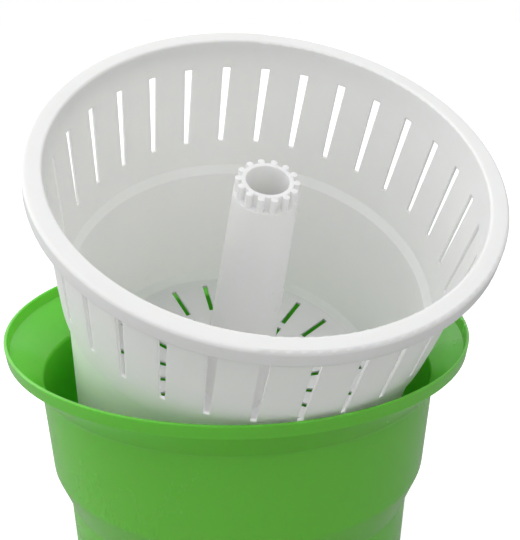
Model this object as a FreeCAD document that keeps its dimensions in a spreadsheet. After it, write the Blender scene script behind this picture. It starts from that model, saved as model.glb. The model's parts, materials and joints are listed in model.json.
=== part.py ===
"""Hand-cranked salad spinner of catering size, its basket lifted and tilted in the bucket's mouth.

Frame: +Z up, origin at the centre of the bucket's base on the table, the basket leans towards -Y
and the lid lies on the table on the +Y side. Lengths in millimetres, angles in degrees.
"""
import FreeCAD, Part
import os

import Sketcher

V = FreeCAD.Vector

# Driving dimensions, one spreadsheet row each.
SIZES = {
    # bucket
    "bucket_tall": 420.0,
    "lip_radius": 215.0,
    "lip_depth": 12.0,
    "lip_draft": 1.7,
    "lip_step": 4.0,
    "flare_drop": 42.5,
    "flare_radius": 185.0,
    "shoulder_top": 129.0,
    "shoulder_top_radius": 178.5,
    "shoulder_low": 163.0,
    "shoulder_low_radius": 165.0,
    "base_radius": 152.0,
    "bucket_wall": 3.0,
    "lip_round": 1.3,
    "shoulder_round": 14.0,
    "bend_round": 5.0,
    "foot_tall": 6.0,
    "foot_wide": 9.0,
    "foot_draft": 4.0,
    "tower_tall": 100.0,
    "tower_top_radius": 24.0,
    "tower_foot_radius": 58.0,
    "tower_wall": 4.0,
    # pivot pin and its fixing
    "pin_radius": 8.0,
    "pin_tip": 169.0,
    "collar_radius": 13.0,
    "collar_top": 117.0,
    "thread_radius": 6.0,
    "thread_low": 72.0,
    "thread_chamfer": 1.0,
    "thread_gap": 0.2,
    "pin_taper": 4.0,
    "gasket_thick": 2.0,
    "washer_thick": 1.6,
    "nut_tall": 10.0,
    "nut_radius": 10.8,
    # basket, measured down from its rim plane
    "rim_radius": 192.0,
    "rim_inner": 176.4,
    "rim_deep": 14.0,
    "rim_thick": 3.2,
    "rim_round": 3.0,
    "rim_inner_round": 2.0,
    "neck_flare": 1.6,
    "slot_top": 28.0,
    "slot_top_radius": 177.6,
    "slot_low": 108.0,
    "slot_low_radius": 169.6,
    "crease": 134.0,
    "crease_radius": 166.4,
    "crease_step": 5.5,
    "crease_tall": 8.0,
    "basket_deep": 285.0,
    "basket_base_radius": 154.0,
    "basket_wall": 2.8,
    "base_corner": 9.0,
    "slot_count": 30,
    "slot_wide_top": 7.6,
    "slot_wide_low": 4.8,
    "drain_count": 24,
    "drain_wide": 5.0,
    "drain_inner": 66.0,
    "drain_middle": 96.0,
    "drain_outer": 136.0,
    "drain_bridge": 4.0,
    "floor_hole": 24.0,
    # centre column with the pinion on top
    "pinion_teeth": 14,
    "tooth_module": 3.3,
    "tooth_round": 2.9,
    "pinion_top": 15.8,
    "pinion_tall": 13.0,
    "pinion_ring": 21.4,
    "tooth_shift": 0.4,
    "column_bore": 17.8,
    "column_bore_deep": 60.0,
    "column_top_radius": 26.8,
    "column_low_radius": 33.0,
    "column_web": 4.0,
    "column_cavity": 22.0,
    "column_fit": 0.1,
    "column_foot_cone": 3.0,
    "foot_flange": 52.0,
    "flange_thick": 4.0,
    "bush_radius": 16.0,
    "bush_bore": 12.0,
    "bush_tall": 40.0,
    "bush_flange": 20.0,
    "bush_flange_thick": 3.0,
    "bush_headroom": 5.0,
    "running_gap": 0.05,
    "side_gap": 0.3,
    "sleeve_flange": 15.0,
    "sleeve_flange_thick": 3.0,
    "sleeve_end": 1.0,
    "clip_wide": 2.5,
    "clip_thick": 1.6,
    "column_screw_count": 4,
    "column_screw_circle": 42.0,
    "column_screw_radius": 2.0,
    "column_screw_head": 4.0,
    "column_screw_head_tall": 2.4,
    "screw_fit": 0.02,
    # lid, measured from the plane of the bucket's lip when it is fitted
    "lid_radius": 209.0,
    "lid_edge_low": 12.0,
    "lid_edge_top": 3.0,
    "lid_edge_chamfer": 4.0,
    "lid_slope": 60.0,
    "lid_rise": 4.0,
    "lid_crown": 24.0,
    "lid_crown_radius": 122.0,
    "crown_round": 10.0,
    "lid_wall": 3.0,
    "skirt_radius": 170.0,
    "skirt_low": 62.0,
    "skirt_top": 9.0,
    "spigot_radius": 17.2,
    "spigot_low": 56.0,
    "spigot_wall": 3.2,
    "spigot_taper": 1.5,
    "spigot_lead": 4.0,
    "rib_count": 6,
    "rib_thick": 2.4,
    "rib_deep": 16.0,
    "rib_end_low": 3.0,
    "rib_end_top": 8.0,
    "boss_radius": 18.0,
    "boss_top": 36.0,
    "boss_low": 20.0,
    "crank_bush_radius": 12.0,
    "crank_bush_flange": 15.0,
    "crank_bush_flange_thick": 2.0,
    "crank_bush_tall": 18.0,
    "shaft_radius": 9.0,
    "shaft_step": 2.0,
    # gear and crank
    "gear_teeth": 42,
    "gear_top": 28.0,
    "gear_thick": 12.0,
    "gear_hub_radius": 20.0,
    "gear_addendum": 2.6,
    "gear_dedendum": 3.0,
    "gear_tip_round": 0.8,
    "gear_web_inner": 26.0,
    "gear_web_outer": 58.0,
    "gear_web_thick": 4.0,
    "gear_web_cone": 2.0,
    "web_hole_count": 6,
    "web_hole_radius": 11.0,
    "gear_spacer_radius": 14.0,
    "gear_washer_radius": 16.0,
    "gear_washer_thick": 2.0,
    "thrust_washer_radius": 15.0,
    "bolt_radius": 4.0,
    "bolt_head": 6.5,
    "bolt_head_side": 3.0,
    "bolt_head_dome": 2.0,
    "bolt_head_tall": 5.5,
    "socket_radius": 2.9,
    "socket_deep": 2.6,
    "arm_gap": 2.0,
    "arm_reach": 105.0,
    "arm_thick": 12.0,
    "arm_hub": 21.0,
    "arm_end": 13.0,
    "arm_neck": 9.0,
    "arm_root": 15.3,
    "spindle_radius": 5.0,
    "spindle_tall": 86.0,
    "knob_gap": 0.4,
    "knob_tall": 66.0,
    "knob_waist": 13.0,
    "knob_belly": 17.0,
    "knob_bead": 2.5,
    "knob_bead_top": 6.0,
    "knob_neck": 12.0,
    "knob_grip": 24.0,
    "knob_shoulder": 20.0,
    "knob_dome": 8.0,
    "knob_crown": 3.0,
    "knob_edge": 2.0,
    "knob_washer_radius": 10.0,
    "cap_radius": 8.0,
    "cap_side": 4.0,
    "cap_dome_radius": 5.5,
    "cap_dome": 8.0,
    "cap_tall": 9.5,
    # shared by several pieces
    "inner_shift": 1.0,
    "cut_margin": 1.0,
}

# Half the width of a gear tooth at the root, pitch and tip circles, as shares of its root width.
TOOTH_TAPER = (1.0, 1.0, 0.82, 0.5, 0.25)

# Where the loose assemblies are at rest.
BASKET_CENTRE = V(27.7, -102.9, 590.8)
BASKET_LEAN_FORWARD = 26.91
BASKET_LEAN_SIDE = 7.22
BASKET_TURN = 1.64
LID_BACK = 480.0
CRANK_TURN = 150.0

DOC = FreeCAD.newDocument("SaladSpinner")
PARTS = []


class Size:
    """A length with both its value and the spreadsheet expression that gives it."""

    def __init__(self, value, text):
        self.value = float(value)
        self.text = text

    def __add__(self, other):
        other = as_size(other)
        return Size(self.value + other.value, f"({self.text} + {other.text})")

    def __sub__(self, other):
        other = as_size(other)
        return Size(self.value - other.value, f"({self.text} - {other.text})")

    def __mul__(self, other):
        other = as_size(other)
        return Size(self.value * other.value, f"({self.text} * {other.text})")

    def __truediv__(self, other):
        other = as_size(other)
        return Size(self.value / other.value, f"({self.text} / {other.text})")

    def __neg__(self):
        return Size(-self.value, f"(0 - {self.text})")


def as_size(number):
    return number if isinstance(number, Size) else Size(number, repr(float(number)))


def make_sheet():
    sheet = DOC.addObject("Spreadsheet::Sheet", "Sizes")
    for row, (alias, number) in enumerate(SIZES.items(), start=1):
        sheet.set(f"A{row}", alias.replace("_", " "))
        sheet.set(f"B{row}", str(number))
        sheet.setAlias(f"B{row}", alias)
    DOC.recompute()


def size(alias):
    return Size(SIZES[alias], f"Sizes.{alias}")


# ---------------------------------------------------------------- building blocks

def new_body(label, placement=None):
    body = DOC.addObject("PartDesign::Body", label)
    body.Label = label
    if placement is not None:
        body.Placement = placement
    PARTS.append(body)
    return body


def origin_feature(body, role):
    return next(item for item in body.Origin.OriginFeatures if item.Role == role)


def new_sketch(body, name, role, lift=None):
    """A sketch on one of the body's own origin planes, moved along its normal by lift."""
    sketch = body.newObject("Sketcher::SketchObject", name)
    sketch.AttachmentSupport = [(origin_feature(body, role), "")]
    sketch.MapMode = "FlatFace"
    if lift is not None:
        sketch.AttachmentOffset = FreeCAD.Placement(V(0, 0, lift.value), FreeCAD.Rotation())
        sketch.setExpression("AttachmentOffset.Base.z", lift.text)
    return sketch


def pin_point(sketch, geometry, point, across, up):
    """Dimension one point of a sketch from the sketch's origin."""
    for kind, amount, axis in (("DistanceX", across, -2), ("DistanceY", up, -1)):
        if amount.value == 0:
            sketch.addConstraint(Sketcher.Constraint("PointOnObject", geometry, point, axis))
            continue
        index = sketch.addConstraint(Sketcher.Constraint(kind, -1, 1, geometry, point, amount.value))
        sketch.setExpression(f"Constraints[{index}]", amount.text)


def add_outline(sketch, points):
    """A closed outline of straight lines through the points, each point dimensioned."""
    points = [(as_size(across), as_size(up)) for across, up in points]
    first = sketch.GeometryCount
    count = len(points)
    for index, (across, up) in enumerate(points):
        after = points[(index + 1) % count]
        line = Part.LineSegment(V(across.value, up.value, 0), V(after[0].value, after[1].value, 0))
        sketch.addGeometry(line, False)
    for index, (across, up) in enumerate(points):
        follower = first + (index + 1) % count
        sketch.addConstraint(Sketcher.Constraint("Coincident", first + index, 2, follower, 1))
        pin_point(sketch, first + index, 1, across, up)


def add_circle(sketch, radius, across=0.0, up=0.0):
    across = as_size(across)
    up = as_size(up)
    circle = Part.Circle(V(across.value, up.value, 0), V(0, 0, 1), radius.value)
    geometry = sketch.addGeometry(circle, False)
    index = sketch.addConstraint(Sketcher.Constraint("Radius", geometry, radius.value))
    sketch.setExpression(f"Constraints[{index}]", radius.text)
    pin_point(sketch, geometry, 3, across, up)


def add_hexagon(sketch, radius):
    """A hexagon round the sketch's origin, radius being that of its corners."""
    corners = [FreeCAD.Rotation(V(0, 0, 1), turn * 60).multVec(V(1, 0, 0)) for turn in range(6)]
    add_outline(sketch, [(radius * corner.x, radius * corner.y) for corner in corners])


def revolve(body, name, points):
    """Turn an outline of (radius, height) points round the body's Z axis."""
    sketch = new_sketch(body, name + "_sketch", "XZ_Plane")
    add_outline(sketch, points)
    feature = body.newObject("PartDesign::Revolution", name)
    feature.Profile = sketch
    feature.ReferenceAxis = (sketch, ["V_Axis"])
    feature.Angle = 360
    DOC.recompute()


def extrude(body, name, sketch, length, kind="PartDesign::Pad", backwards=False):
    """Pad or Pocket a sketch; a pocket that leaves the volume as it was stops the build."""
    before = body.Shape.Volume if body.Shape.Solids else 0.0
    feature = body.newObject(kind, name)
    feature.Profile = sketch
    feature.Length = length.value
    feature.setExpression("Length", length.text)
    feature.Reversed = backwards
    DOC.recompute()
    if abs(body.Shape.Volume - before) < 1e-3:
        raise RuntimeError(f"{name} changes nothing")
    return feature


def repeat_round(body, name, feature, count):
    """Repeat a feature evenly round the body's Z axis."""
    pattern = body.newObject("PartDesign::PolarPattern", name)
    pattern.Originals = [feature]
    pattern.Axis = (origin_feature(body, "Z_Axis"), [""])
    pattern.Angle = 360
    pattern.Occurrences = int(count.value)
    pattern.setExpression("Occurrences", count.text)
    body.Tip = pattern
    DOC.recompute()


def round_rings(body, name, radius, rings):
    """Fillet the circular edges found at each (edge radius, height) of the body."""
    names = []
    for index, edge in enumerate(body.Shape.Edges, start=1):
        if not isinstance(edge.Curve, Part.Circle):
            continue
        local = body.Placement.inverse().multVec(edge.Curve.Center)
        for ring, height in rings:
            if abs(edge.Curve.Radius - ring.value) < 0.01 and abs(local.z - height.value) < 0.01:
                names.append(f"Edge{index}")
    if len(names) < len(rings):
        raise RuntimeError(f"{name} finds {len(names)} of {len(rings)} edges")
    base = body.Tip
    fillet = body.newObject("PartDesign::Fillet", name)
    fillet.Base = (base, names)
    fillet.Radius = radius.value
    fillet.setExpression("Radius", radius.text)
    body.Tip = fillet
    DOC.recompute()


def ring(label, outer, inner, low, top, placement=None):
    """A plain washer, sleeve or rod: a rectangle turned round Z."""
    body = new_body(label, placement)
    revolve(body, label + "_turned", [(inner, low), (outer, low), (outer, top), (inner, top)])


# ---------------------------------------------------------------- bucket

def make_bucket():
    top = size("bucket_tall")
    wall = size("bucket_wall")
    lip = size("lip_radius")
    lip_low = top - size("lip_depth")
    flare = size("flare_radius")
    flare_low = top - size("flare_drop")
    high = top - size("shoulder_top")
    high_radius = size("shoulder_top_radius")
    low = top - size("shoulder_low")
    low_radius = size("shoulder_low_radius")
    base = size("base_radius")
    foot = size("foot_tall")
    floor = foot + wall
    tower = size("tower_tall")
    tower_top = size("tower_top_radius")
    tower_foot = size("tower_foot_radius")
    tower_wall = size("tower_wall")
    hole = size("thread_radius") + size("thread_gap")
    draft = size("lip_draft")
    rise = wall / 2
    body = new_body("bucket")
    revolve(body, "bucket_shell", [
        (base - size("foot_draft"), 0),
        (base, floor),
        (low_radius, low),
        (high_radius, high),
        (flare, flare_low),
        (lip - size("lip_step") - draft, lip_low - rise),
        (lip - draft, lip_low),
        (lip, top),
        (lip - wall, top),
        (lip - wall - draft, lip_low + rise),
        (flare - wall, flare_low + rise),
        (high_radius - wall, high + rise),
        (low_radius - wall, low + rise),
        (base - wall, floor + wall),
        (base - wall * 2, floor),
        (tower_foot, floor),
        (tower_top, tower),
        (hole, tower),
        (hole, tower - tower_wall),
        (tower_top - wall, tower - tower_wall),
        (tower_foot - wall, foot),
        (base - size("foot_wide"), foot),
        (base - size("foot_wide"), 0),
    ])
    bend = size("bend_round")
    shoulder = size("shoulder_round")
    round_rings(body, "lip_rounding", size("lip_round"), [(lip, top), (lip - wall, top)])
    round_rings(body, "shoulder_rounding", shoulder, [(high_radius, high)])
    round_rings(body, "shoulder_inner_rounding", shoulder - wall, [(high_radius - wall, high + rise)])
    round_rings(body, "shoulder_foot_rounding", bend, [(low_radius, low)])
    round_rings(body, "flare_rounding", bend, [(flare, flare_low), (flare - wall, flare_low + rise)])


def make_pivot_pin():
    """Stainless pin on the bucket's tower, sealed by a gasket and held by a nut underneath."""
    tower = size("tower_tall")
    seat = tower + size("gasket_thick")
    pin = size("pin_radius")
    collar = size("collar_radius")
    thread = size("thread_radius")
    tip = size("pin_tip")
    chamfer = size("thread_chamfer")
    taper = size("pin_taper")
    hole = thread + size("thread_gap")
    body = new_body("pivot_pin")
    revolve(body, "pin_turned", [
        (0, size("thread_low")),
        (thread - chamfer, size("thread_low")),
        (thread, size("thread_low") + chamfer),
        (thread, seat),
        (collar, seat),
        (collar, size("collar_top")),
        (pin, size("collar_top")),
        (pin, tip - taper),
        (pin - taper, tip),
        (0, tip),
    ])
    ring("pin_gasket", collar, hole, tower, seat)
    under = tower - size("tower_wall")
    washer_low = under - size("washer_thick")
    ring("pin_washer", collar, hole, washer_low, under)
    make_nut("pin_nut", size("nut_radius"), thread, washer_low - size("nut_tall"), size("nut_tall"))


def make_nut(label, radius, hole, low, tall):
    """Hexagon nut with its bore on the Z axis."""
    hexagon = DOC.addObject("Part::Prism", label + "_hexagon")
    hexagon.Polygon = 6
    bore = DOC.addObject("Part::Cylinder", label + "_bore")
    for solid, name, width in ((hexagon, "Circumradius", radius), (bore, "Radius", hole)):
        solid.setExpression(name, width.text)
        solid.setExpression("Height", tall.text)
        solid.setExpression("Placement.Base.z", low.text)
    nut = DOC.addObject("Part::Cut", label)
    nut.Label = label
    nut.Base = hexagon
    nut.Tool = bore
    PARTS.append(nut)
    DOC.recompute()


# ---------------------------------------------------------------- basket

def basket_placement():
    sideways = FreeCAD.Rotation(V(0, 1, 0), BASKET_LEAN_SIDE)
    lean = sideways * FreeCAD.Rotation(V(1, 0, 0), BASKET_LEAN_FORWARD)
    return FreeCAD.Placement(BASKET_CENTRE, lean * FreeCAD.Rotation(V(0, 0, 1), BASKET_TURN))


def make_basket(place):
    """Perforated basket with a turned-down rim; heights run down from the rim plane."""
    wall = size("basket_wall")
    rim = size("rim_radius")
    rim_thick = size("rim_thick")
    crease = size("crease")
    step_radius = size("crease_radius") - size("crease_step")
    step = crease + size("crease_tall")
    deep = size("basket_deep")
    base = size("basket_base_radius")
    corner = size("base_corner")
    shift = size("inner_shift")
    body = new_body("basket", place)
    revolve(body, "basket_shell", [
        (size("rim_inner"), 0),
        (rim, 0),
        (rim, -size("rim_deep")),
        (rim - rim_thick, -size("rim_deep")),
        (rim - rim_thick, -rim_thick),
        (size("slot_top_radius") + size("neck_flare"), -rim_thick),
        (size("slot_top_radius"), -size("slot_top")),
        (size("slot_low_radius"), -size("slot_low")),
        (size("crease_radius"), -crease),
        (step_radius, -step),
        (base, corner - deep),
        (base - corner, -deep),
        (size("floor_hole"), -deep),
        (size("floor_hole"), wall - deep),
        (base - corner - shift, wall - deep),
        (base - wall, corner - deep + shift),
        (step_radius - wall, -step - shift),
        (size("crease_radius") - wall, -crease - shift),
        (size("slot_low_radius") - wall, -size("slot_low")),
        (size("slot_top_radius") - wall, -size("slot_top")),
        (size("rim_inner"), -rim_thick),
    ])
    rim_plane = as_size(0)
    round_rings(body, "rim_rounding", size("rim_round"), [(rim, rim_plane)])
    round_rings(body, "rim_inner_rounding", size("rim_inner_round"), [(size("rim_inner"), rim_plane)])
    cut_side_slots(body)
    cut_floor_slots(body)


def cut_side_slots(body):
    """One tall slot, wider at the top, cut through the wall and repeated round the basket."""
    half_top = size("slot_wide_top") / 2
    half_low = size("slot_wide_low") / 2
    sketch = new_sketch(body, "side_slot_sketch", "XZ_Plane")
    add_outline(sketch, [
        (-half_low, -size("slot_low")),
        (half_low, -size("slot_low")),
        (half_top, -size("slot_top")),
        (-half_top, -size("slot_top")),
    ])
    slot = extrude(body, "side_slot", sketch, size("rim_radius"), "PartDesign::Pocket")
    repeat_round(body, "side_slots", slot, size("slot_count"))


def cut_floor_slots(body):
    """Two rings of radial drain slots in the basket's floor."""
    half = size("drain_wide") / 2
    bridge = size("drain_bridge")
    margin = size("cut_margin")
    rings = {
        "inner_drain": (size("drain_inner"), size("drain_middle") - bridge),
        "outer_drain": (size("drain_middle") + bridge, size("drain_outer")),
    }
    for name, (near, far) in rings.items():
        sketch = new_sketch(body, name + "_sketch", "XY_Plane", -size("basket_deep") - margin)
        add_outline(sketch, [(near, -half), (far, -half), (far, half), (near, half)])
        slot = extrude(body, name, sketch, size("basket_wall") + margin * 2, "PartDesign::Pocket", True)
        repeat_round(body, name + "_ring", slot, size("drain_count"))


def make_column(place):
    """Hollow centre column: screwed foot, tapered tube, and a crown of rounded pinion teeth."""
    deep = size("basket_deep")
    floor = size("basket_wall") - deep
    flange_top = floor + size("flange_thick")
    crown_top = -size("pinion_top")
    crown_low = crown_top - size("pinion_tall")
    bore = size("column_bore")
    web_top = crown_top - size("column_bore_deep")
    web_low = web_top - size("column_web")
    seat_top = size("bush_tall") + size("bush_headroom") - deep
    foot = size("floor_hole") - size("column_fit")
    cone = size("column_foot_cone")
    margin = size("cut_margin")
    body = new_body("centre_column", place)
    revolve(body, "column_turned", [
        (size("bush_radius"), -deep),
        (foot, -deep),
        (foot, floor),
        (size("foot_flange"), floor),
        (size("foot_flange"), flange_top),
        (size("column_low_radius") + cone, flange_top),
        (size("column_low_radius"), flange_top + cone),
        (size("column_top_radius"), crown_low),
        (size("pinion_ring"), crown_low),
        (size("pinion_ring"), crown_top),
        (bore, crown_top),
        (bore, web_top),
        (0, web_top),
        (0, web_low),
        (size("column_cavity"), web_low),
        (size("column_cavity"), seat_top),
        (size("bush_radius"), seat_top),
    ])
    pitch = size("tooth_module") * size("pinion_teeth") / 2
    sketch = new_sketch(body, "tooth_sketch", "XY_Plane", crown_low - margin)
    add_circle(sketch, size("tooth_round"), pitch + size("tooth_shift"))
    tooth = extrude(body, "tooth", sketch, size("pinion_tall") + margin)
    repeat_round(body, "teeth", tooth, size("pinion_teeth"))
    sketch = new_sketch(body, "screw_hole_sketch", "XY_Plane", floor - margin)
    add_circle(sketch, size("column_screw_radius"), size("column_screw_circle"))
    length = size("flange_thick") + margin * 2
    hole = extrude(body, "screw_hole", sketch, length, "PartDesign::Pocket", True)
    repeat_round(body, "screw_holes", hole, size("column_screw_count"))


def make_column_screws(place):
    """Flat-headed screws, evenly spaced, in the column's foot."""
    head_low = size("basket_wall") + size("flange_thick") - size("basket_deep")
    count = SIZES["column_screw_count"]
    screws = []
    for number in range(count):
        turn = FreeCAD.Rotation(V(0, 0, 1), number * 360 / count)
        spot = turn.multVec(V(SIZES["column_screw_circle"], 0, head_low.value))
        shank = DOC.addObject("Part::Cylinder", f"column_shank_{number}")
        shank.setExpression("Radius", (size("column_screw_radius") - size("screw_fit")).text)
        shank.setExpression("Height", size("flange_thick").text)
        shank.Placement.Base = spot - V(0, 0, SIZES["flange_thick"])
        head = DOC.addObject("Part::Cylinder", f"column_head_{number}")
        head.setExpression("Radius", size("column_screw_head").text)
        head.setExpression("Height", size("column_screw_head_tall").text)
        head.Placement.Base = spot
        screw = DOC.addObject("Part::Fuse", f"column_screw_{number}")
        screw.Base = shank
        screw.Tool = head
        screws.append(screw)
    group = DOC.addObject("Part::Compound", "column_screws")
    group.Label = "column_screws"
    group.Links = screws
    group.Placement = place
    PARTS.append(group)
    DOC.recompute()


def make_basket_bearing(place):
    """Flanged bush in the column's foot, and the captive sleeve that drops over the pivot pin."""
    deep = size("basket_deep")
    bush_top = size("bush_tall") - deep
    flange_low = -deep - size("bush_flange_thick")
    gap = size("running_gap")
    play = size("side_gap")
    bush = new_body("bearing_bush", place)
    revolve(bush, "bush_turned", [
        (size("bush_bore"), flange_low),
        (size("bush_flange"), flange_low),
        (size("bush_flange"), -deep),
        (size("bush_radius"), -deep),
        (size("bush_radius"), bush_top),
        (size("bush_bore"), bush_top),
    ])
    sleeve_radius = size("bush_bore") - gap
    sleeve_low = flange_low - size("sleeve_flange_thick")
    sleeve_top = bush_top + size("clip_thick") + size("sleeve_end")
    sleeve = new_body("pivot_sleeve", place)
    revolve(sleeve, "sleeve_turned", [
        (size("pin_radius") + gap, sleeve_low),
        (size("sleeve_flange"), sleeve_low),
        (size("sleeve_flange"), flange_low - play),
        (sleeve_radius, flange_low - play),
        (sleeve_radius, sleeve_top),
        (size("pin_radius") + gap, sleeve_top),
    ])
    clip_low = bush_top + play
    clip_radius = sleeve_radius + size("clip_wide")
    ring("sleeve_clip", clip_radius, sleeve_radius, clip_low, clip_low + size("clip_thick"), place)


# ---------------------------------------------------------------- lid

def lid_height():
    return SIZES["skirt_low"]


def lid_placement():
    return FreeCAD.Placement(V(0, LID_BACK, lid_height()), FreeCAD.Rotation())


def gear_centre():
    """Distance from the lid's axis to the crank's: half the sum of the two pitch circles."""
    return size("tooth_module") * (size("pinion_teeth") + size("gear_teeth")) / 2


def crank_placement():
    spot = V(gear_centre().value, LID_BACK, lid_height())
    return FreeCAD.Placement(spot, FreeCAD.Rotation(V(0, 0, 1), CRANK_TURN))


def make_lid():
    wall = size("lid_wall")
    edge = size("lid_radius")
    low = -size("lid_edge_low")
    edge_top = size("lid_edge_top")
    crown = size("lid_crown")
    crown_radius = size("lid_crown_radius")
    chamfer = size("lid_edge_chamfer")
    slope_radius = crown_radius + size("lid_slope")
    slope_low = edge_top + size("lid_rise")
    shift = size("inner_shift")
    skirt = size("skirt_radius")
    body = new_body("lid", lid_placement())
    revolve(body, "lid_shell", [
        (edge - wall, low),
        (edge, low),
        (edge, edge_top - chamfer),
        (edge - chamfer, edge_top),
        (slope_radius, slope_low),
        (crown_radius, crown),
        (0, crown),
        (0, crown - wall),
        (crown_radius - shift, crown - wall),
        (slope_radius - shift, slope_low - wall),
        (edge - wall, edge_top - wall),
    ])
    revolve(body, "skirt", [
        (skirt - wall, -size("skirt_low")),
        (skirt, -size("skirt_low")),
        (skirt, size("skirt_top")),
        (skirt - wall, size("skirt_top")),
    ])
    spigot = size("spigot_radius")
    spigot_low = -size("spigot_low")
    revolve(body, "spigot", [
        (spigot - size("spigot_wall"), spigot_low),
        (spigot - size("spigot_taper"), spigot_low),
        (spigot, spigot_low + size("spigot_lead")),
        (spigot, crown - shift),
        (spigot - size("spigot_wall"), crown - shift),
    ])
    add_lid_ribs(body)
    add_crank_boss(body)
    round_rings(body, "crown_rounding", size("crown_round"), [(crown_radius, crown)])


def add_lid_ribs(body):
    """Radial stiffening ribs under the crown, from the spigot to the skirt."""
    half = size("rib_thick") / 2
    shift = size("inner_shift")
    near = size("spigot_radius") - shift
    far = size("skirt_radius") - shift
    crown = size("lid_crown")
    sketch = new_sketch(body, "rib_sketch", "XZ_Plane", -half)
    add_outline(sketch, [
        (near, crown - shift),
        (near, crown - size("rib_deep")),
        (far, -size("rib_end_low")),
        (far, size("rib_end_top")),
        (size("lid_crown_radius"), crown - shift),
    ])
    rib = extrude(body, "rib", sketch, size("rib_thick"))
    repeat_round(body, "ribs", rib, size("rib_count"))


def add_crank_boss(body):
    """Raised bearing boss for the crank, bored right through."""
    margin = size("cut_margin")
    sketch = new_sketch(body, "boss_sketch", "XY_Plane", -size("boss_low"))
    add_circle(sketch, size("boss_radius"), gear_centre())
    extrude(body, "boss", sketch, size("boss_low") + size("boss_top"))
    sketch = new_sketch(body, "boss_bore_sketch", "XY_Plane", -size("boss_low") - margin)
    add_circle(sketch, size("crank_bush_radius"), gear_centre())
    length = size("boss_low") + size("boss_top") + margin * 2
    extrude(body, "boss_bore", sketch, length, "PartDesign::Pocket", True)


def make_crank_bushes(place):
    """Two flanged bushes pressed into the boss from above and from below."""
    bore = size("shaft_radius") + size("running_gap")
    outer = size("crank_bush_radius")
    flange = size("crank_bush_flange")
    thick = size("crank_bush_flange_thick")
    tall = size("crank_bush_tall")
    faces = {"upper_bush": (size("boss_top"), 1), "lower_bush": (-size("boss_low"), -1)}
    for label, (face, away) in faces.items():
        body = new_body(label, place)
        revolve(body, label + "_turned", [
            (bore, face + thick * away),
            (flange, face + thick * away),
            (flange, face),
            (outer, face),
            (outer, face - tall * away),
            (bore, face - tall * away),
        ])


def make_drive_gear(place):
    """Crank gear with a thin web and rounded-off teeth that match the basket's pinion."""
    top = -size("gear_top")
    low = top - size("gear_thick")
    pitch = size("tooth_module") * size("gear_teeth") / 2
    root = pitch - size("gear_dedendum")
    middle = top - size("gear_thick") / 2
    half_web = size("gear_web_thick") / 2
    cone = size("gear_web_cone")
    shaft = size("shaft_radius") - size("shaft_step")
    margin = size("cut_margin")
    body = new_body("drive_gear", place)
    revolve(body, "gear_blank", [
        (shaft, low),
        (size("gear_hub_radius"), low),
        (size("gear_web_inner"), middle - half_web),
        (size("gear_web_outer"), middle - half_web),
        (size("gear_web_outer") + cone, low),
        (root, low),
        (root, top),
        (size("gear_web_outer") + cone, top),
        (size("gear_web_outer"), middle + half_web),
        (size("gear_web_inner"), middle + half_web),
        (size("gear_hub_radius"), top),
        (shaft, top),
    ])
    sketch = new_sketch(body, "gear_tooth_sketch", "XY_Plane", low)
    tip = pitch + size("gear_addendum")
    half = size("tooth_round")
    circles = (root - margin, root, pitch, tip - size("gear_tip_round"), tip)
    flank = [(circle, half * share) for circle, share in zip(circles, TOOTH_TAPER)]
    add_outline(sketch, [(circle, -width) for circle, width in flank] + flank[::-1])
    tooth = extrude(body, "gear_tooth", sketch, size("gear_thick"))
    repeat_round(body, "gear_toothing", tooth, size("gear_teeth"))
    sketch = new_sketch(body, "web_hole_sketch", "XY_Plane", low - margin)
    add_circle(sketch, size("web_hole_radius"), (size("gear_web_inner") + size("gear_web_outer")) / 2)
    hole = extrude(body, "web_hole", sketch, size("gear_thick") + margin * 2, "PartDesign::Pocket", True)
    repeat_round(body, "web_holes", hole, size("web_hole_count"))


def arm_faces():
    """Heights of the crank arm's underside and top."""
    low = size("boss_top") + size("crank_bush_flange_thick") + size("arm_gap")
    return low, low + size("arm_thick")


def make_crank(place):
    """Crank shaft and arm, with the bolts, spacer and washers that hold gear and arm on."""
    shaft = size("shaft_radius")
    neck = shaft - size("shaft_step")
    arm_low, arm_top = arm_faces()
    play = size("side_gap")
    gear_top = -size("gear_top")
    gear_low = gear_top - size("gear_thick")
    body = new_body("crank_shaft", place)
    revolve(body, "shaft_turned", [
        (0, gear_low),
        (neck, gear_low),
        (neck, gear_top),
        (shaft, gear_top),
        (shaft, arm_low),
        (neck, arm_low),
        (neck, arm_top),
        (0, arm_top),
    ])
    flange = size("crank_bush_flange_thick")
    thrust_low = size("boss_top") + flange + play
    ring("thrust_washer", size("thrust_washer_radius"), shaft, thrust_low, arm_low, place)
    spacer_top = -size("boss_low") - flange - play
    ring("gear_spacer", size("gear_spacer_radius"), shaft, gear_top, spacer_top, place)
    washer_low = gear_low - size("gear_washer_thick")
    ring("gear_washer", size("gear_washer_radius"), size("bolt_radius"), washer_low, gear_low, place)
    make_bolt("gear_bolt", washer_low, -1, place)
    make_bolt("arm_bolt", arm_top, 1, place)
    make_arm(arm_low, arm_top, place)


def make_bolt(label, face, away, place):
    """Domed head with a hexagon socket, standing on a face; below a washer it has a short shank too."""
    head = size("bolt_head")
    shank = size("bolt_radius")
    side = face + size("bolt_head_side") * away
    dome = size("bolt_head_dome")
    end = face + size("bolt_head_tall") * away
    outline = [(0, face), (head, face), (head, side), (head - dome, side + dome * away), (0, end)]
    if away < 0:
        shank_end = face + size("gear_washer_thick")
        outline = [(0, shank_end), (shank, shank_end), (shank, face)] + outline[1:]
    body = new_body(label, place)
    revolve(body, label + "_turned", outline)
    sketch = new_sketch(body, label + "_socket_sketch", "XY_Plane", end)
    add_hexagon(sketch, size("socket_radius"))
    extrude(body, label + "_socket", sketch, size("socket_deep"), "PartDesign::Pocket", away < 0)


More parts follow.
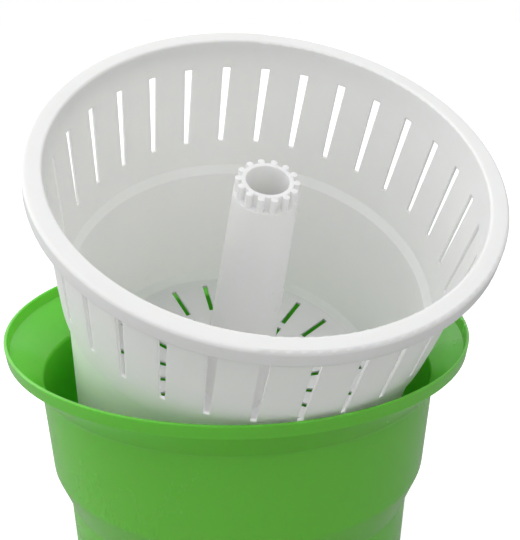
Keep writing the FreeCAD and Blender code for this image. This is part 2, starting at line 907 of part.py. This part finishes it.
def make_arm(low, top, place):
    """Flat crank arm: round hub on the shaft, tapered bar, round end under the knob."""
    reach = size("arm_reach")
    thick = top - low
    hub = size("arm_hub")
    neck = size("arm_neck")
    root = size("arm_root")
    margin = size("cut_margin")
    body = new_body("crank_arm", place)
    sketch = new_sketch(body, "arm_hub_sketch", "XY_Plane", low)
    add_circle(sketch, hub)
    extrude(body, "arm_hub_pad", sketch, thick)
    sketch = new_sketch(body, "arm_bar_sketch", "XY_Plane", low)
    add_outline(sketch, [(0, -root), (reach, -neck), (reach, neck), (0, root)])
    extrude(body, "arm_bar", sketch, thick)
    sketch = new_sketch(body, "arm_end_sketch", "XY_Plane", low)
    add_circle(sketch, size("arm_end"), reach)
    extrude(body, "arm_end_pad", sketch, thick)
    sketch = new_sketch(body, "arm_bores_sketch", "XY_Plane", low - margin)
    add_circle(sketch, size("shaft_radius") - size("shaft_step"))
    add_circle(sketch, size("spindle_radius"), reach)
    extrude(body, "arm_bores", sketch, thick + margin * 2, "PartDesign::Pocket", True)


def make_knob(place):
    """Turning knob on its steel spindle, kept on by a washer and a domed nut."""
    arm_low, arm_top = arm_faces()
    spindle = size("spindle_radius")
    bore = spindle + size("running_gap")
    gap = size("knob_gap")
    low = arm_top + gap
    top = low + size("knob_tall")
    waist = size("knob_waist")
    bead = waist + size("knob_bead")
    belly = size("knob_belly")
    edge = size("knob_edge")
    crown = size("knob_crown")
    reach = place.multVec(V(SIZES["arm_reach"], 0, 0))
    spot = FreeCAD.Placement(reach, place.Rotation)
    rod_top = arm_low + size("spindle_tall")
    ring("knob_spindle", spindle, as_size(0), arm_low, rod_top, spot)
    body = new_body("crank_knob", spot)
    revolve(body, "knob_turned", [
        (bore, low),
        (bead - edge, low),
        (bead, low + edge),
        (bead, low + size("knob_bead_top")),
        (waist, low + size("knob_neck")),
        (waist + edge, low + size("knob_grip")),
        (belly, top - size("knob_shoulder")),
        (belly, top - size("knob_dome")),
        (belly - edge, top - crown),
        (belly - crown * 2, top),
        (bore, top),
    ])
    rounded = [(belly, top - size("knob_shoulder")), (belly, top - size("knob_dome"))]
    round_rings(body, "knob_rounding", size("bend_round"), rounded)
    washer_low = top + gap
    washer_top = washer_low + size("washer_thick")
    ring("knob_washer", size("knob_washer_radius"), spindle, washer_low, washer_top, spot)
    make_cap_nut(washer_top, rod_top, spot)


def make_cap_nut(low, rod_top, place):
    """Domed nut with six flats on the end of the knob's spindle."""
    spindle = size("spindle_radius")
    radius = size("cap_radius")
    side = size("cap_side")
    body = new_body("spindle_nut", place)
    revolve(body, "spindle_nut_turned", [
        (spindle, low),
        (radius, low),
        (radius, low + side),
        (size("cap_dome_radius"), low + size("cap_dome")),
        (0, low + size("cap_tall")),
        (0, rod_top),
        (spindle, rod_top),
    ])
    sketch = new_sketch(body, "flats_sketch", "XY_Plane", low)
    add_circle(sketch, radius + size("cut_margin"))
    add_hexagon(sketch, radius)
    extrude(body, "flats", sketch, side, "PartDesign::Pocket", True)


# ---------------------------------------------------------------- check and write

def check_and_write():
    DOC.recompute()
    for item in DOC.Objects:
        if "Invalid" in item.State or "Error" in item.State:
            raise RuntimeError(f"{item.Name} failed: {item.State}")
    os.makedirs("parts", exist_ok=True)
    for part in PARTS:
        shape = part.Shape
        if shape.isNull() or not shape.isValid() or not shape.Solids:
            raise RuntimeError(f"{part.Label} has no valid solid")
        shape.exportStep(f"parts/{part.Label}.step")
        box = shape.BoundBox
        print(f"{part.Label:16s} {len(shape.Solids)} solid(s) {shape.Volume / 1000:9.1f} cm3 "
              f"z {box.ZMin:7.1f} to {box.ZMax:7.1f}")


make_sheet()
make_bucket()
make_pivot_pin()
BASKET = basket_placement()
make_basket(BASKET)
make_column(BASKET)
make_column_screws(BASKET)
make_basket_bearing(BASKET)
make_lid()
CRANK = crank_placement()
make_crank_bushes(FreeCAD.Placement(CRANK.Base, FreeCAD.Rotation()))
make_crank(CRANK)
make_drive_gear(CRANK)
make_knob(CRANK)
check_and_write()
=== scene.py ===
import json
import math

import bpy
from mathutils import Euler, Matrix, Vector


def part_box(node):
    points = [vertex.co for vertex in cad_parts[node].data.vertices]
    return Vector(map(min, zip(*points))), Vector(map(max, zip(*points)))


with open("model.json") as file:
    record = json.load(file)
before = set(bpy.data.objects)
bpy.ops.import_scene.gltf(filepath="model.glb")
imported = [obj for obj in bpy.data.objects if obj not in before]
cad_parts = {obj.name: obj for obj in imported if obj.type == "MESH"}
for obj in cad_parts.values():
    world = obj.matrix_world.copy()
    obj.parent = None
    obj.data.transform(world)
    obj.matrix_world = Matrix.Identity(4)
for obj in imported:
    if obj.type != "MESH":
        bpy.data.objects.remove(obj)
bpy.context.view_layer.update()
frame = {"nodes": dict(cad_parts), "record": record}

MM = 0.001

# ---------------------------------------------------------------- node helpers

BEVEL_SAMPLES = 6
WORN_RADIUS = 0.7 * MM
WORN_FACING = (0.80, 0.97)      # rounded against true normal: fully worn, not worn
WORN_BREAKS = dict(low=0.2, high=1.0)


class Nodes:
    """Short calls that make and join the nodes of one tree."""

    def __init__(self, tree, coordinates):
        self.tree = tree
        self.place = self.node("ShaderNodeTexCoord").outputs[coordinates]

    def node(self, kind, **values):
        made = self.tree.nodes.new(kind)
        for name, amount in values.items():
            setattr(made, name, amount)
        return made

    def feed(self, socket, source):
        """Join a socket to an output, or set it to a constant."""
        if hasattr(source, "is_output"):
            self.tree.links.new(source, socket)
        else:
            socket.default_value = source

    def stretched(self, scale):
        mapping = self.node("ShaderNodeMapping")
        self.feed(mapping.inputs["Scale"], scale)
        self.feed(mapping.inputs["Vector"], self.place)
        return mapping.outputs["Vector"]

    def noise(self, scale, detail=3.0, rough=0.5, vector=None):
        made = self.node("ShaderNodeTexNoise")
        self.feed(made.inputs["Vector"], vector or self.place)
        self.feed(made.inputs["Scale"], scale)
        self.feed(made.inputs["Detail"], detail)
        self.feed(made.inputs["Roughness"], rough)
        return made.outputs["Fac"]

    def span(self, source, low, high, start=0.3, end=0.7):
        """Turn a source that runs from start to end into one that runs from low to high."""
        made = self.node("ShaderNodeMapRange")
        self.feed(made.inputs["Value"], source)
        self.feed(made.inputs["From Min"], start)
        self.feed(made.inputs["From Max"], end)
        self.feed(made.inputs["To Min"], low)
        self.feed(made.inputs["To Max"], high)
        return made.outputs["Result"]

    def combine(self, operation, first, second):
        made = self.node("ShaderNodeMath", operation=operation)
        self.feed(made.inputs[0], first)
        self.feed(made.inputs[1], second)
        return made.outputs["Value"]

    def blend(self, factor, first, second):
        """Mix two colours, each an output or three numbers."""
        made = self.node("ShaderNodeMix", data_type="RGBA")
        self.feed(made.inputs["Factor"], factor)
        self.feed(made.inputs["A"], (*first, 1) if isinstance(first, tuple) else first)
        self.feed(made.inputs["B"], (*second, 1) if isinstance(second, tuple) else second)
        return made.outputs["Result"]


class Shader(Nodes):
    """A Principled material; constants are socket names with underscores for spaces."""

    def __init__(self, name, **constants):
        self.material = bpy.data.materials.new(name)
        self.material.use_nodes = True
        super().__init__(self.material.node_tree, "Object")
        self.surface = self.tree.nodes["Principled BSDF"]
        for socket, amount in constants.items():
            self.surface.inputs[socket.replace("_", " ")].default_value = amount

    def worn_edges(self, strength):
        """A mask that is bright along sharp edges, broken up by noise."""
        rounded = self.node("ShaderNodeBevel", samples=BEVEL_SAMPLES)
        self.feed(rounded.inputs["Radius"], WORN_RADIUS)
        facing = self.node("ShaderNodeVectorMath", operation="DOT_PRODUCT")
        self.feed(facing.inputs[0], rounded.outputs["Normal"])
        self.feed(facing.inputs[1], self.node("ShaderNodeNewGeometry").outputs["Normal"])
        edge = self.span(facing.outputs["Value"], strength, 0.0, *WORN_FACING)
        breaks = self.span(self.noise(scale=140.0), **WORN_BREAKS)
        return self.combine("MULTIPLY", edge, breaks)

    def finish(self, color, roughness, height, depth, strength, soft=0.3 * MM):
        """Feed the surface; depth is the bump's, and soft the radius that edges seem rounded by."""
        edge = self.node("ShaderNodeBevel", samples=BEVEL_SAMPLES)
        self.feed(edge.inputs["Radius"], soft)
        bump = self.node("ShaderNodeBump")
        self.feed(bump.inputs["Strength"], strength)
        self.feed(bump.inputs["Distance"], depth)
        self.feed(bump.inputs["Height"], height)
        self.feed(bump.inputs["Normal"], edge.outputs["Normal"])
        self.feed(self.surface.inputs["Base Color"], color)
        self.feed(self.surface.inputs["Roughness"], roughness)
        self.feed(self.surface.inputs["Normal"], bump.outputs["Normal"])
        return self.material


# ---------------------------------------------------------------- materials

MOULDED_SOFT = 0.9 * MM         # how far the moulded rims and lips look rounded


def green_plastic():
    """Glossy dyed polypropylene: faint flow clouds, orange peel and fine rubbing marks."""
    s = Shader(
        "green_plastic",
        Specular_IOR_Level=0.38,
        Coat_Weight=0.18,
        Coat_Roughness=0.06,
        Subsurface_Weight=0.8,
        Subsurface_Radius=(0.25, 1.0, 0.15),
        Subsurface_Scale=8.0 * MM,
    )
    clouds = s.noise(scale=6.0, detail=4.0)
    color = s.blend(s.span(clouds, low=0.0, high=1.0), (0.150, 0.570, 0.046), (0.160, 0.585, 0.052))
    color = s.blend(s.worn_edges(strength=0.18), color, (0.30, 0.64, 0.20))
    rubs = s.noise(scale=55.0, detail=5.0, rough=0.65, vector=s.stretched((1.0, 1.0, 0.35)))
    roughness = s.combine("ADD", s.span(rubs, low=0.0, high=0.02), s.span(clouds, low=0.22, high=0.27))
    peel = s.noise(scale=420.0, detail=2.0)
    return s.finish(color, roughness, peel, depth=0.05 * MM, strength=0.06, soft=MOULDED_SOFT)


def milky_plastic(name, pale, warm, scatter, reach, rough):
    """Satin polyethylene that lets a little light through, with sink clouds and a matte grain."""
    s = Shader(
        name,
        Specular_IOR_Level=0.45,
        Subsurface_Weight=scatter,
        Subsurface_Radius=(1.0, 1.0, 0.9),
        Subsurface_Scale=reach,
    )
    clouds = s.noise(scale=9.0, detail=5.0)
    color = s.blend(s.span(clouds, low=0.0, high=1.0), pale, warm)
    scuffs = s.noise(scale=90.0, detail=6.0, rough=0.7, vector=s.stretched((1.0, 1.0, 0.25)))
    grey = s.span(scuffs, low=0.0, high=0.10, start=0.62, end=0.75)
    color = s.blend(grey, color, (0.55, 0.55, 0.50))
    satin = s.span(clouds, low=rough, high=rough + 0.06)
    roughness = s.combine("ADD", s.span(scuffs, low=0.0, high=0.12), satin)
    waves = s.combine("MULTIPLY", s.noise(scale=35.0, detail=2.0), 1.5)
    grain = s.combine("ADD", s.noise(scale=900.0, detail=2.0), waves)
    return s.finish(color, roughness, grain, depth=0.08 * MM, strength=0.25, soft=MOULDED_SOFT)


def dark_grip():
    """Dark handle plastic with spark-eroded texture, polished where it is held."""
    s = Shader("knob_plastic", Specular_IOR_Level=0.4)
    held = s.span(s.noise(scale=24.0), low=0.0, high=1.0, start=0.42, end=0.6)
    color = s.blend(held, (0.020, 0.021, 0.022), (0.042, 0.043, 0.045))
    color = s.blend(s.worn_edges(strength=0.6), color, (0.12, 0.12, 0.12))
    roughness = s.span(held, low=0.38, high=0.58, start=0.0, end=1.0)
    return s.finish(color, roughness, s.noise(scale=1500.0), depth=0.15 * MM, strength=0.6)


def turned_steel():
    """Stainless steel with fine turning lines, water marks and brighter edges."""
    s = Shader("stainless_steel", Metallic=1.0)
    lines = s.noise(scale=700.0, rough=0.6, vector=s.stretched((0.15, 0.15, 2.0)))
    marks = s.noise(scale=45.0, detail=4.0)
    color = s.blend(s.span(marks, low=0.0, high=1.0), (0.50, 0.50, 0.49), (0.66, 0.66, 0.65))
    color = s.blend(s.worn_edges(strength=0.5), color, (0.85, 0.85, 0.84))
    roughness = s.combine("ADD", s.span(lines, low=0.0, high=0.14), s.span(marks, low=0.18, high=0.30))
    return s.finish(color, roughness, lines, depth=0.03 * MM, strength=0.5)


def sintered_bronze():
    """Porous bearing bronze, dulled by oil."""
    s = Shader("bearing_bronze", Metallic=1.0)
    pores = s.noise(scale=1100.0, detail=4.0, rough=0.7)
    oil = s.noise(scale=60.0)
    color = s.blend(s.span(oil, low=0.0, high=1.0), (0.38, 0.24, 0.10), (0.62, 0.43, 0.20))
    dark = s.span(pores, low=0.0, high=0.7, start=0.55, end=0.75)
    color = s.blend(dark, color, (0.10, 0.06, 0.03))
    roughness = s.span(oil, low=0.30, high=0.48)
    return s.finish(color, roughness, pores, depth=0.08 * MM, strength=0.6)


def acetal(name, pale, deep):
    """Machined or moulded acetal: waxy, with faint tool lines and stains."""
    s = Shader(
        name,
        Specular_IOR_Level=0.5,
        Subsurface_Weight=0.12,
        Subsurface_Radius=(1.0, 0.9, 0.8),
        Subsurface_Scale=2.0 * MM,
    )
    stain = s.noise(scale=70.0, detail=5.0, rough=0.65)
    color = s.blend(s.span(stain, low=0.0, high=1.0, start=0.45, end=0.75), pale, deep)
    lines = s.noise(scale=500.0, detail=2.0, vector=s.stretched((1.0, 1.0, 6.0)))
    return s.finish(color, s.span(stain, low=0.30, high=0.44), lines, depth=0.04 * MM, strength=0.35)


def seal_rubber():
    """Black rubber with a dusty bloom and a fine pitted skin."""
    s = Shader("seal_rubber", Specular_IOR_Level=0.35)
    bloom = s.noise(scale=80.0, detail=5.0)
    color = s.blend(s.span(bloom, low=0.0, high=1.0), (0.018, 0.018, 0.018), (0.060, 0.058, 0.055))
    roughness = s.span(bloom, low=0.62, high=0.80)
    return s.finish(color, roughness, s.noise(scale=900.0), depth=0.12 * MM, strength=0.6)


MATERIALS = {
    "green_plastic": green_plastic(),
    "white_plastic": milky_plastic(
        "white_plastic",
        pale=(0.925, 0.93, 0.915),
        warm=(0.895, 0.90, 0.885),
        scatter=0.85,
        reach=4.5 * MM,
        rough=0.30,
    ),
    "column_plastic": milky_plastic(
        "column_plastic",
        pale=(0.975, 0.98, 0.97),
        warm=(0.955, 0.96, 0.945),
        scatter=0.95,
        reach=7.0 * MM,
        rough=0.24,
    ),
    "gear_plastic": acetal("gear_plastic", pale=(0.80, 0.79, 0.73), deep=(0.55, 0.53, 0.47)),
    "bearing_acetal": acetal("bearing_acetal", pale=(0.68, 0.68, 0.65), deep=(0.45, 0.44, 0.41)),
    "knob_plastic": dark_grip(),
    "stainless_steel": turned_steel(),
    "bearing_bronze": sintered_bronze(),
    "seal_rubber": seal_rubber(),
}


def dress_cad_nodes():
    """Give each CAD node its material and smooth shading; its shape and place stay."""
    slots = {row["node"]: row["material_slot"] for row in frame["record"]["subparts"]}
    for name, node in frame["nodes"].items():
        node.data.materials.clear()
        node.data.materials.append(MATERIALS[slots[name]])
        for face in node.data.polygons:
            face.use_smooth = True


dress_cad_nodes()

# ---------------------------------------------------------------- camera

IMAGE_WIDTH = 520               # pixels, like the focal length
FOCAL_PIXELS = 970.35
SENSOR = 36.0                   # mm, as Blender wants it
CLIP_END = 50
LIP_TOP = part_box("bucket")[1].z
CAMERA_FROM_LIP = Vector((0.0, -0.85509, 0.33564))
CAMERA_PAN = math.radians(-1.373)
CAMERA_TILT = math.radians(2.892)
CAMERA_ROLL = math.radians(-0.781)


def add_camera():
    """Aim at the middle of the bucket's lip, then turn by the small angles that frame the photo."""
    data = bpy.data.cameras.new("camera")
    data.sensor_fit = "HORIZONTAL"
    data.sensor_width = SENSOR
    data.lens = FOCAL_PIXELS / IMAGE_WIDTH * SENSOR
    data.clip_end = CLIP_END
    camera = bpy.data.objects.new("camera", data)
    aim = (-CAMERA_FROM_LIP).to_track_quat("-Z", "Y").to_matrix()
    for turn in ((0, CAMERA_PAN, 0), (CAMERA_TILT, 0, 0), (0, 0, CAMERA_ROLL)):
        aim = aim @ Euler(turn).to_matrix()
    camera.matrix_world = aim.to_4x4()
    camera.location = CAMERA_FROM_LIP + Vector((0, 0, LIP_TOP))
    bpy.context.scene.collection.objects.link(camera)
    bpy.context.scene.camera = camera


# ---------------------------------------------------------------- floor, world and lights
# The floor and the world look white, but shed less light on the object than they show.

FLOOR_HALF = 9.0
FLOOR_GLOW = dict(low=0.30, high=0.70, start=0.3, end=1.5)      # by distance from the middle
FLOOR_PALE = (0.88, 0.88, 0.88)
FLOOR_PALER = (0.90, 0.90, 0.90)
FLOOR_SHED = (0.40, 0.40, 0.40)
WHITE = (1.0, 1.0, 1.0, 1.0)
WORLD_SIDE = Vector((-0.75, 0.15, 0.65)).normalized()
WORLD_DIM = 0.04
WORLD_BRIGHT = 1.22
LIGHTS = (
    dict(name="top", place=(-0.3, -0.3, 2.6), target=(0, 0, 0.4), width=1.8, height=1.8, power=6.0),
    dict(name="left", place=(-1.9, 0.5, 1.0), target=(0, 0, 0.4), width=0.7, height=1.6, power=7.0),
    dict(name="front", place=(1.5, -1.9, 0.9), target=(0, 0, 0.3), width=1.4, height=1.6, power=5.5),
)


def add_floor():
    """A pale floor that glows away to the white of the world, so no horizon shows."""
    mesh = bpy.data.meshes.new("floor")
    corners = [(x * FLOOR_HALF, y * FLOOR_HALF, 0) for x, y in ((-1, -1), (1, -1), (1, 1), (-1, 1))]
    mesh.from_pydata(corners, [], [(0, 1, 2, 3)])
    floor = bpy.data.objects.new("floor", mesh)
    bpy.context.scene.collection.objects.link(floor)
    s = Shader("floor", Specular_IOR_Level=0.1, Emission_Color=WHITE)
    away = s.node("ShaderNodeVectorMath", operation="LENGTH")
    s.feed(away.inputs[0], s.place)
    seen = s.node("ShaderNodeLightPath").outputs["Is Camera Ray"]
    glow = s.combine("MULTIPLY", s.span(away.outputs["Value"], **FLOOR_GLOW), seen)
    s.feed(s.surface.inputs["Emission Strength"], glow)
    cloth = s.noise(scale=30.0)
    color = s.blend(seen, FLOOR_SHED, s.blend(cloth, FLOOR_PALE, FLOOR_PALER))
    roughness = s.span(cloth, low=0.68, high=0.74)
    mesh.materials.append(s.finish(color, roughness, cloth, depth=0.02 * MM, strength=0.1))


def add_world():
    """A white backdrop; what it sheds on the object is strongest from the left and from above."""
    world = bpy.data.worlds.new("studio")
    world.use_nodes = True
    w = Nodes(world.node_tree, "Generated")
    facing = w.node("ShaderNodeVectorMath", operation="DOT_PRODUCT")
    w.feed(facing.inputs[0], w.place)
    w.feed(facing.inputs[1], WORLD_SIDE)
    shed = w.span(facing.outputs["Value"], WORLD_DIM, WORLD_BRIGHT, start=-1.0, end=1.0)
    seen = w.node("ShaderNodeLightPath").outputs["Is Camera Ray"]
    background = w.tree.nodes["Background"]
    w.feed(background.inputs["Color"], WHITE)
    w.feed(background.inputs["Strength"], w.combine("MAXIMUM", shed, seen))
    bpy.context.scene.world = world
    bpy.context.scene.view_settings.view_transform = "Standard"


def add_light(name, place, target, width, height, power):
    """A soft rectangular light of so many metres and watts."""
    data = bpy.data.lights.new(name, "AREA")
    data.shape = "RECTANGLE"
    data.size = width
    data.size_y = height
    data.energy = power
    light = bpy.data.objects.new(name, data)
    light.location = place
    light.rotation_euler = (Vector(target) - Vector(place)).to_track_quat("-Z", "Y").to_euler()
    bpy.context.scene.collection.objects.link(light)


add_camera()
add_floor()
add_world()
for light in LIGHTS:
    add_light(**light)
